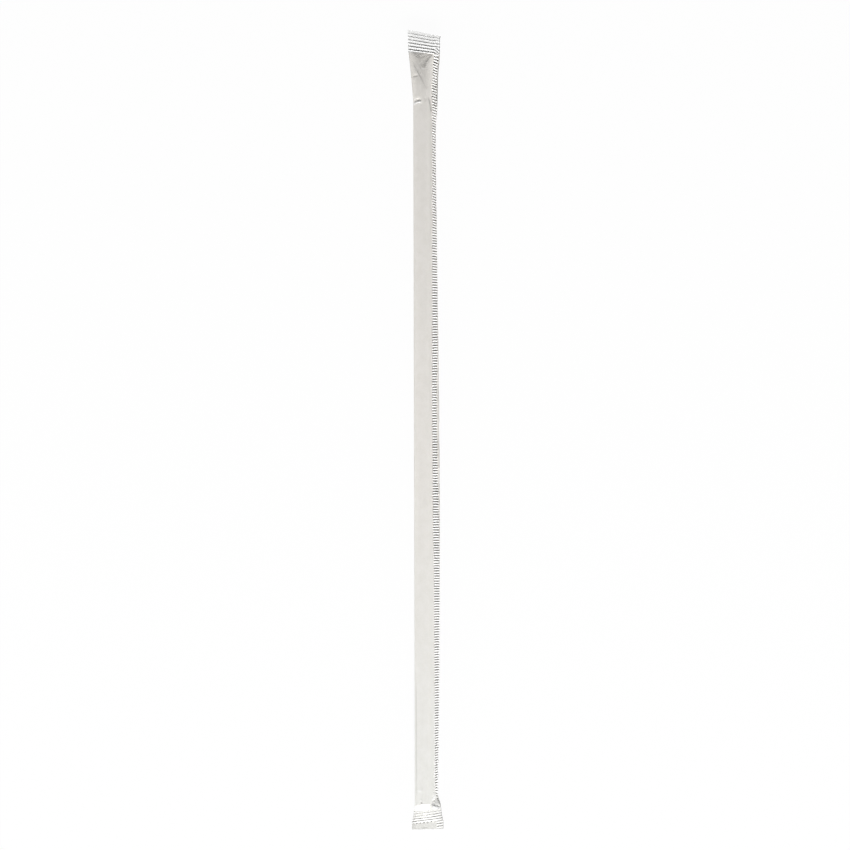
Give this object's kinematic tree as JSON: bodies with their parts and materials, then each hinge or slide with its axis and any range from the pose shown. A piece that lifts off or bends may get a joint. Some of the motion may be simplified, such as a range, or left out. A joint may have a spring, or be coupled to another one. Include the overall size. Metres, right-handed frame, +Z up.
{
  "type": "wrapped drinking straw",
  "caption": "Slim drinking straw sealed in a white paper sleeve, with a ribbed side seam and a ribbed seal across each end, lying flat.",
  "frame": {"origin": "middle of the box that the pack fills, on the surface that it lies on", "axes": "+Y along the straw, towards the empty neck and the top seal; +X across it, towards the side seam; +Z up from the surface"},
  "size_m": [0.0094, 0.2246, 0.0043],
  "materials": {
    "sleeve_paper": "thin matt white wrapping paper"
  },
  "bodies": {
    "root": {"wrapped_straw": "sleeve_paper"}
  },
  "joints": []
}
